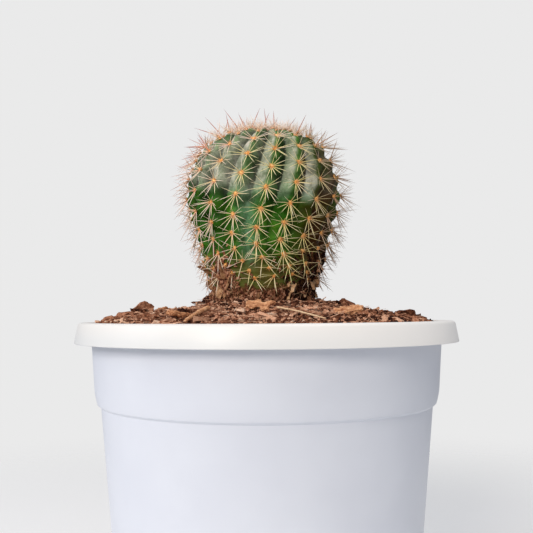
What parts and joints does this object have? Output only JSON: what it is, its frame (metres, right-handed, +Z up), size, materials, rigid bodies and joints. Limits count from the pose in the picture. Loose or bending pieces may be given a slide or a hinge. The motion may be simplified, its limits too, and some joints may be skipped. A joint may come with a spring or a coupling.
{
  "type": "potted round cactus",
  "caption": "Round ribbed cactus with fine straight spines, standing in bark potting mix in a flared white plastic pot.",
  "frame": {"origin": "middle of the pot's foot, on the surface that it stands on", "axes": "+Z up along the pot and the cactus; -Y towards the front that the picture shows"},
  "size_m": [0.151, 0.151, 0.2112],
  "materials": {
    "pot_plastic": "smooth white moulded plastic, with a soft gloss",
    "potting_mix": "dry, crumbly bark and coir potting mix",
    "cactus_skin": "waxy green skin, brown and corky at the neck, with cream spines",
    "bark": "dry, matt bark",
    "straw": "dry, matt plant fibre"
  },
  "bodies": {
    "root": {"pot": "pot_plastic", "soil": "potting_mix", "cactus": "cactus_skin", "bark_forked_front": "bark", "bark_slab_right": "bark", "bark_slab_left": "bark", "bark_slab_back_right": "bark", "bark_forked_back": "bark", "bark_slab_back_left": "bark", "straw_front": "straw", "twig_left": "bark", "straw_back": "straw"}
  },
  "joints": []
}
